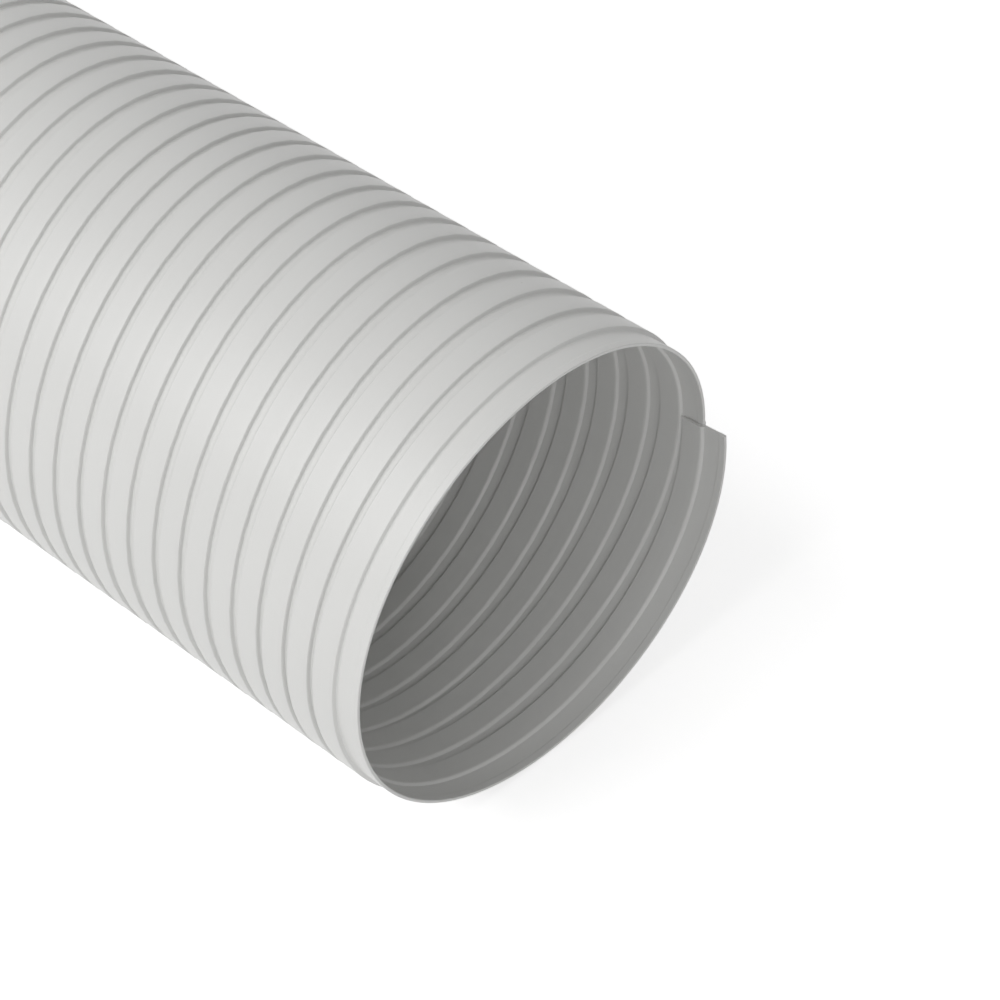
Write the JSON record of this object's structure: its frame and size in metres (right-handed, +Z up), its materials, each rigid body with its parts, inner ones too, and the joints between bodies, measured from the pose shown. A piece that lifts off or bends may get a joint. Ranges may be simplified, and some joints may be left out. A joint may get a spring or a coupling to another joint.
{
  "type": "dust extraction hose",
  "caption": "Straight length of stiff ducting hose wound from one interlocking plastic strip, with a smooth bore and open ends, for dust extraction.",
  "frame": {"origin": "on the floor, straight below the middle of the hose", "axes": "+X along the hose towards the end with the strip's cut end on show, +Z up from the floor, +Y to the right for someone who faces that end"},
  "size_m": [1, 0.2082, 0.2082],
  "materials": {
    "grey_pvc": "satin"
  },
  "bodies": {
    "root": {"wound_strip": "grey_pvc"}
  },
  "joints": []
}
